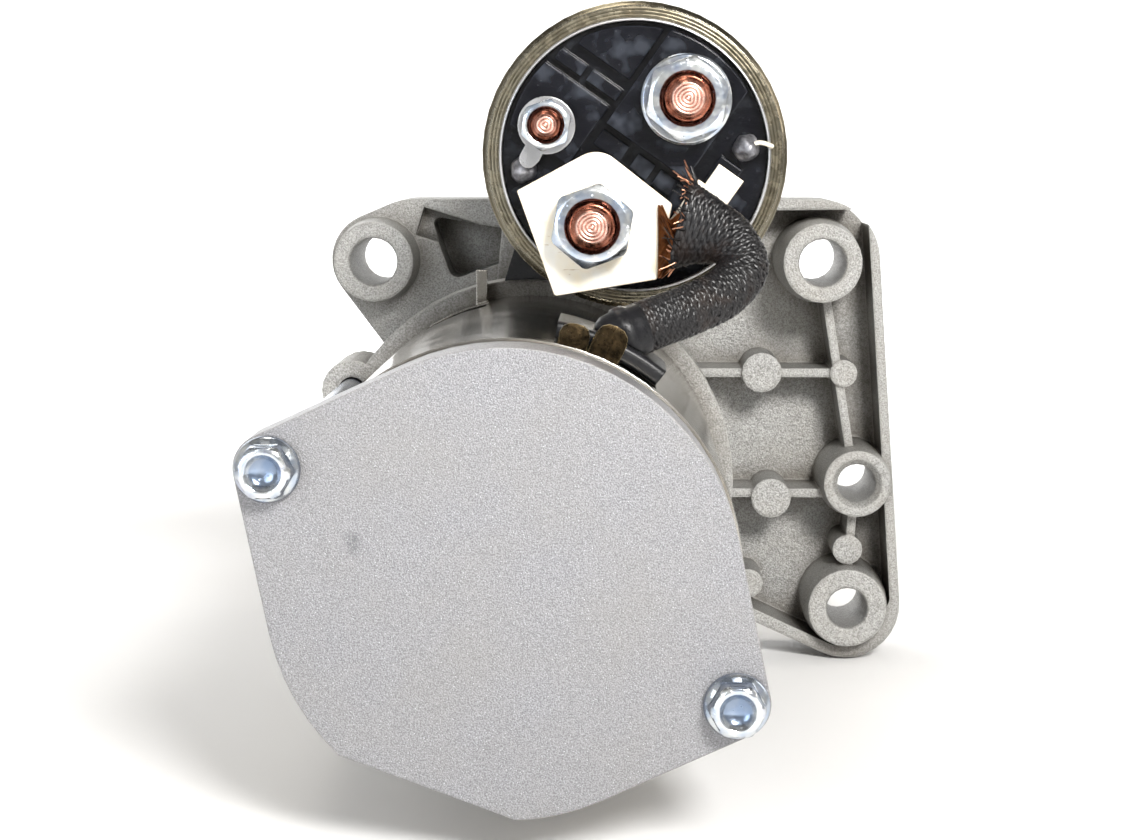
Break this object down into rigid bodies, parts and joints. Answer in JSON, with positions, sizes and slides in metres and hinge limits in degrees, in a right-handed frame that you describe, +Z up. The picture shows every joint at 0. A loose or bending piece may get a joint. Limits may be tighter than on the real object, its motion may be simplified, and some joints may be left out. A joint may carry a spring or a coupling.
{
  "type": "starter motor",
  "caption": "Gear-reduction starter motor with an over-mounted solenoid, planetary gears, sliding pinion drive and a ribbed side flange.",
  "frame": {"origin": "motor axis at the front face of the mounting flange", "axes": "+Y along the motor axis towards the pinion, +Z up with the solenoid above the motor, +X to the right seen from the rear cover"},
  "size_m": [0.1259, 0.224, 0.1388],
  "materials": {
    "cast_aluminium": "shot-blasted as cast",
    "bronze": "sintered",
    "plated_steel": "bright zinc plate",
    "moulded_plastic": "glass-filled, matte",
    "zinc_plate": "bright zinc plate",
    "steel": "machined",
    "copper": "bare copper",
    "rubber": "moulded",
    "olive_plate": "yellow-passivated zinc plate",
    "phenolic": "glossy moulded",
    "tin_plate": "bright tin plate",
    "solder": "dull solder",
    "braid": "braided sleeve over copper strands",
    "ferrite": "sintered ferrite",
    "carbon": "pressed copper-graphite"
  },
  "bodies": {
    "starter_body": {"drive_end_housing": "cast_aluminium", "nose_bush": "bronze", "rear_cover": "cast_aluminium", "rear_bush": "bronze", "yoke": "plated_steel", "brush_holder": "moulded_plastic", "through_bolt_1": "zinc_plate", "through_bolt_2": "zinc_plate", "ring_gear": "steel", "bearing_plate": "steel", "fork_pivot_pin": "steel", "lever_seal": "rubber", "solenoid_can": "olive_plate", "solenoid_screw_1": "zinc_plate", "solenoid_screw_2": "zinc_plate", "solenoid_coil": "copper", "solenoid_core": "steel", "return_spring": "steel", "solenoid_cap": "phenolic", "battery_stud": "copper", "battery_nut": "zinc_plate", "motor_stud": "copper", "motor_nut": "zinc_plate", "motor_plate": "tin_plate", "signal_stud": "copper", "signal_lug": "tin_plate", "signal_nut": "zinc_plate", "coil_tab": "tin_plate", "solder_bead_1": "solder", "solder_bead_2": "solder", "lead_grommet": "rubber", "motor_lead": "braid", "magnet_1": "ferrite", "magnet_2": "ferrite", "magnet_3": "ferrite", "magnet_4": "ferrite", "magnet_5": "ferrite", "magnet_6": "ferrite", "brush_1": "carbon", "brush_2": "carbon", "brush_3": "carbon", "brush_4": "carbon"},
    "armature": {"armature_shaft": "steel", "armature_core": "steel", "armature_windings": "copper", "commutator": "copper"},
    "output_shaft_set": {"output_shaft": "steel", "stop_collar": "steel", "snap_ring": "steel"},
    "planet_1": {"planet_gear_1": "steel"},
    "planet_2": {"planet_gear_2": "steel"},
    "planet_3": {"planet_gear_3": "steel"},
    "drive_sleeve": {"clutch_sleeve": "steel"},
    "drive_pinion": {"pinion": "steel"},
    "lever": {"shift_fork": "moulded_plastic"},
    "plunger_set": {"plunger": "steel"},
    "contact_set": {"contact_rod": "steel", "contact_disc": "copper", "contact_spring": "steel"}
  },
  "joints": [
    {"name": "armature_spin", "type": "hinge", "parent": "starter_body", "child": "armature", "pos_m": [0, -0.1, 0], "axis": [0, 1, 0], "continuous": true},
    {"name": "output_spin", "type": "hinge", "parent": "starter_body", "child": "output_shaft_set", "pos_m": [0, 0, 0], "axis": [0, 1, 0], "continuous": true},
    {"name": "planet_1_spin", "type": "hinge", "parent": "output_shaft_set", "child": "planet_1", "pos_m": [0, -0.05, 0.018], "axis": [0, 1, 0], "continuous": true},
    {"name": "planet_2_spin", "type": "hinge", "parent": "output_shaft_set", "child": "planet_2", "pos_m": [-0.01559, -0.05, -0.009], "axis": [0, 1, 0], "continuous": true},
    {"name": "planet_3_spin", "type": "hinge", "parent": "output_shaft_set", "child": "planet_3", "pos_m": [0.01559, -0.05, -0.009], "axis": [0, 1, 0], "continuous": true},
    {"name": "drive_slide", "type": "slide", "parent": "output_shaft_set", "child": "drive_sleeve", "axis": [0, 1, 0], "range_m": [0, 0.0151]},
    {"name": "pinion_overrun", "type": "hinge", "parent": "drive_sleeve", "child": "drive_pinion", "pos_m": [0, 0, 0], "axis": [0, 1, 0], "continuous": true},
    {"name": "lever_swing", "type": "hinge", "parent": "starter_body", "child": "lever", "pos_m": [0.01242, -0.0195, 0.04012], "axis": [0.9553, 0, -0.2957], "range_deg": [0, 20.7]},
    {"name": "plunger_slide", "type": "slide", "parent": "starter_body", "child": "plunger_set", "axis": [0, -1, 0], "range_m": [0, 0.01], "stiffness_N_per_m": 800, "springref_m": -0.01, "deforming": ["return_spring"]},
    {"name": "contact_slide", "type": "slide", "parent": "starter_body", "child": "contact_set", "axis": [0, -1, 0], "range_m": [0, 0.0081]}
  ],
  "couplings": [
    {"joint": "output_spin", "follows": "armature_spin", "ratio": 0.22917},
    {"joint": "planet_1_spin", "follows": "armature_spin", "ratio": -0.65224},
    {"joint": "planet_2_spin", "follows": "armature_spin", "ratio": -0.65224},
    {"joint": "planet_3_spin", "follows": "armature_spin", "ratio": -0.65224},
    {"joint": "drive_slide", "follows": "plunger_slide", "ratio": 1.5},
    {"joint": "lever_swing", "follows": "plunger_slide", "rad_per_m": 35.954},
    {"joint": "contact_slide", "follows": "plunger_slide", "ratio": 0.8}
  ]
}
